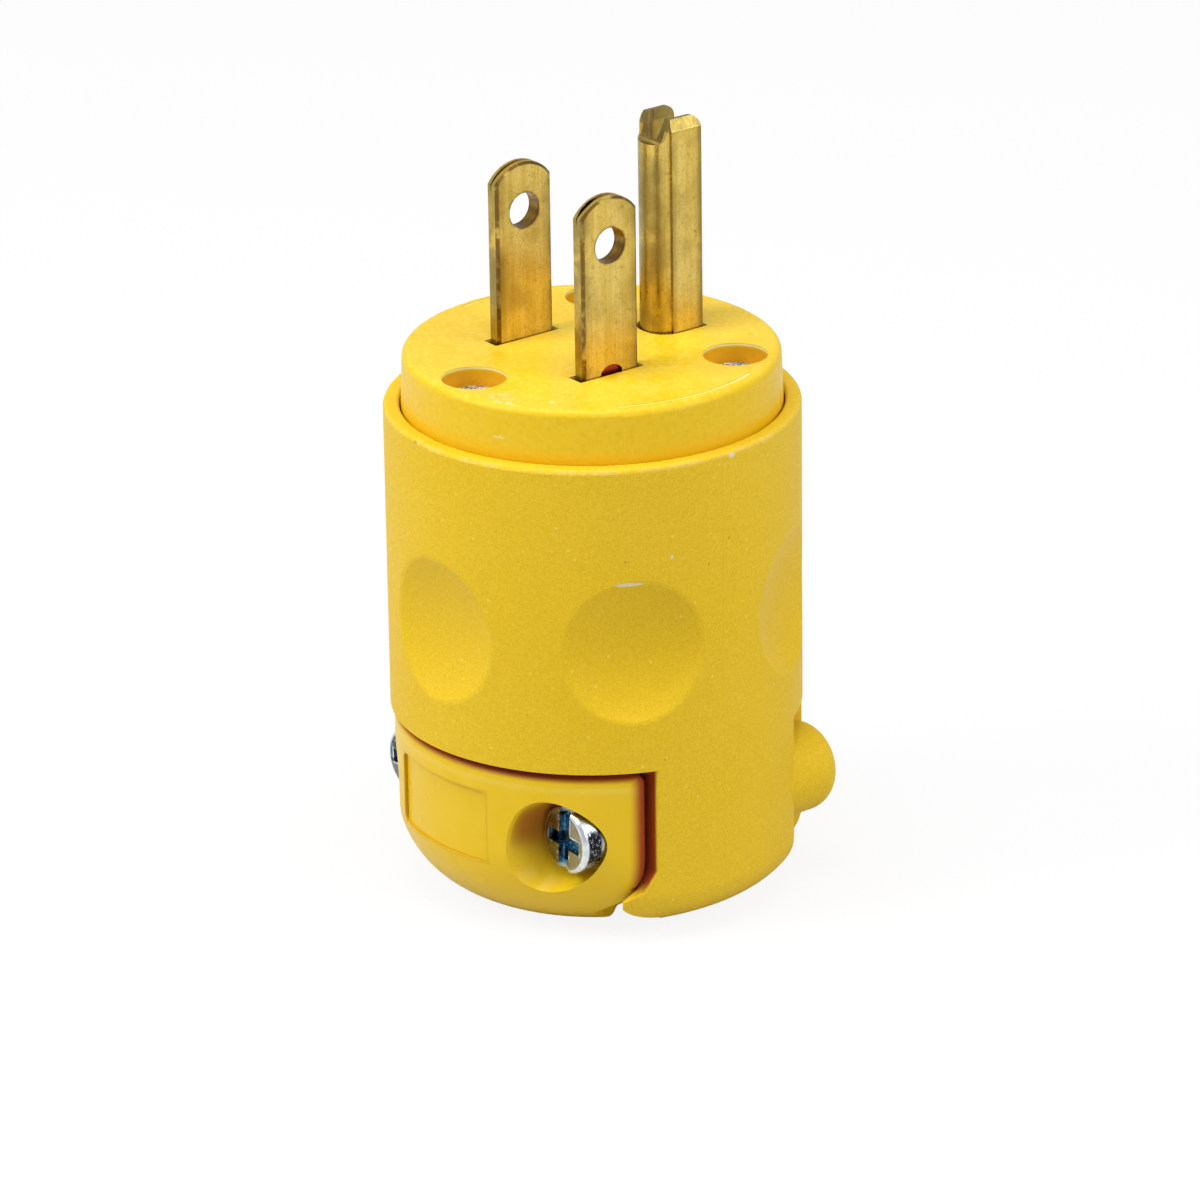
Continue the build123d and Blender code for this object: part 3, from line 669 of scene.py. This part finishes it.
inner = {
    "light": (0.70, 0.69, 0.64, 1),
    "dark": (0.60, 0.59, 0.54, 1),
    "noise": (300, 3),
    "darkFrom": (0.3, 0.7),
    "roughness": (0.3, 0.7, 0.45, 0.6),
}


def mouldedInner():
    material, look = newLook("innerPlastic")
    cloudy = look.noise(*inner["noise"])
    look.surface({
        "Base Color": look.mix(cloudy.step(*inner["darkFrom"]), inner["light"], inner["dark"]),
        "Roughness": cloudy.step(*inner["roughness"]),
    })
    return material


hidden = {
    # metals of the pieces inside: two colours, roughness, pieces
    "terminalBrass": (brass["clean"], brass["bright"], 0.30,
                      ("hot_terminal_screw", "hot_pressure_plate", "ground_pressure_plate")),
    "platedSteel": ((0.62, 0.62, 0.60, 1), (0.50, 0.50, 0.49, 1), 0.30,
                    ("neutral_terminal_screw", "neutral_pressure_plate")),
    "greenSteel": ((0.07, 0.24, 0.10, 1), (0.05, 0.17, 0.08, 1), 0.35,
                   ("ground_terminal_screw",)),
    "nutZinc": (zinc["light"], zinc["grey"], 0.25, ("clamp_nut_right", "clamp_nut_left")),
}
hiddenFinish = {
    "cloudy": (900, 3),
    "shadeFrom": (0.35, 0.65),
    "roughFrom": (0.3, 0.7),
    "spread": 0.06,           # of the roughness, either way
    "grain": (4000, 2),
    "bump": (0.15, 0.03 * mm),
}


def plainMetal(name, colour, shade, roughness):
    material, look = newLook(name)
    cloudy = look.noise(*hiddenFinish["cloudy"])
    spread = hiddenFinish["spread"]
    look.surface({
        "Base Color": look.mix(cloudy.step(*hiddenFinish["shadeFrom"]), colour, shade),
        "Metallic": 1.0,
        "Roughness": cloudy.step(*hiddenFinish["roughFrom"], roughness - spread, roughness + spread),
        "Normal": look.bump(look.noise(*hiddenFinish["grain"]), *hiddenFinish["bump"]),
    })
    return material


dress(grainPlastic(), "rear_body")
dress(facePlastic(), "front_face")
dress(clampPlastic(), "cord_clamp")
dress(mouldedInner(), "terminal_retainer")
dress(rolledBrass("bladeBrass", blade, bladeParts), "hot_blade", "neutral_blade")
dress(rolledBrass("groundBrass", ground, groundParts), "ground_pin")
dress(chewedZinc(), "face_screw_front", "face_screw_right", "face_screw_left")
dress(brightZinc(), "clamp_screw_right", "clamp_screw_left")
for name, (colour, shade, roughness, pieces) in hidden.items():
    dress(plainMetal(name, colour, shade, roughness), *pieces)
print("materials on the CAD pieces")


room = {
    "floorRadius": 1.2,
    "floorSides": 96,
    "floor": 0.80,
    "bounce": 0.58,           # shade of the floor for the light that it throws back
    "shine": 0.78,            # and where metal reflects it
    "white": (1, 1, 1, 1),
    "whiteShare": 0.89,       # how much of the white the camera sees on the floor
    "ambient": 0.36,
    "glossy": 0.62,
}


def makeFloor():
    mesh = bpy.data.meshes.new("floor")
    shape = bmesh.new()
    bmesh.ops.create_circle(shape, cap_ends=True, segments=room["floorSides"],
                            radius=room["floorRadius"])
    shape.to_mesh(mesh)
    shape.free()
    floor = bpy.data.objects.new("floor", mesh)
    bpy.context.scene.collection.objects.link(floor)
    material, look = newLook("paleFloor")
    camera = look.node("ShaderNodeLightPath", out="Is Camera Ray")
    glossy = look.node("ShaderNodeLightPath", out="Is Glossy Ray")
    shade = camera * (room["floor"] - room["bounce"]) \
        + glossy * (room["shine"] - room["bounce"]) + room["bounce"]
    matt = look.node("ShaderNodeBsdfDiffuse", {}, {"Color": shade})
    white = look.node("ShaderNodeEmission", {}, {"Color": room["white"], "Strength": 1.0})
    seen = look.node("ShaderNodeMixShader", {}, {
        0: camera * room["whiteShare"], 1: matt, 2: white})
    look.node("ShaderNodeOutputMaterial", {}, {"Surface": seen})
    mesh.materials.append(material)


def makeWorld():
    # white to the camera, dimmer in reflections and as light
    world = bpy.data.worlds.new("studio")
    bpy.context.scene.world = world
    look = Look(world)
    path = look.node("ShaderNodeLightPath", out="Is Camera Ray")
    glossy = look.node("ShaderNodeLightPath", out="Is Glossy Ray")
    strength = path + (1.0 - path) * (
        glossy * room["glossy"] + (1.0 - glossy) * room["ambient"])
    back = look.node("ShaderNodeBackground", {}, {"Color": room["white"], "Strength": strength})
    look.node("ShaderNodeOutputWorld", {}, {"Surface": back})


lamps = {
    # azimuth and elevation of each lamp, its distance, side and power
    "keyLeft": (-20, 40, 0.55, 0.25, 1.90),
    "top": (30, 80, 0.60, 0.35, 2.2),
    "fillRight": (115, 30, 0.70, 0.40, 2.15),
}
aimHeight = 30 * mm


def makeLamps():
    for name, (azimuth, elevation, distance, side, power) in lamps.items():
        light = bpy.data.lights.new(name, "AREA")
        light.shape = "SQUARE"
        light.size = side
        light.energy = power
        lamp = bpy.data.objects.new(name, light)
        turn = Euler((radians(90 - elevation), 0, radians(azimuth)))
        lamp.rotation_euler = turn
        lamp.location = turn.to_matrix() @ Vector((0, 0, distance)) + Vector((0, 0, aimHeight))
        bpy.context.scene.collection.objects.link(lamp)


view = {
    "azimuth": 52.537,
    "elevation": 22.028,
    "roll": -0.824,
    "place": (481.80 * mm, -368.64 * mm, 272.03 * mm),
    "lens": 211.77,
    "sensor": 36,
    "clipStart": 0.01,
}


def makeCamera():
    data = bpy.data.cameras.new("photoCamera")
    data.sensor_width = view["sensor"]
    data.lens = view["lens"]
    data.clip_start = view["clipStart"]
    camera = bpy.data.objects.new("photoCamera", data)
    turn = Euler((radians(90 - view["elevation"]), 0, radians(view["azimuth"]))).to_matrix()
    turn = turn @ Matrix.Rotation(radians(view["roll"]), 3, "Z")
    camera.matrix_world = Matrix.Translation(view["place"]) @ turn.to_4x4()
    bpy.context.scene.collection.objects.link(camera)
    bpy.context.scene.camera = camera


makeFloor()
makeWorld()
makeLamps()
makeCamera()
bpy.context.scene.view_settings.view_transform = "Standard"
print("floor, lamps and camera")
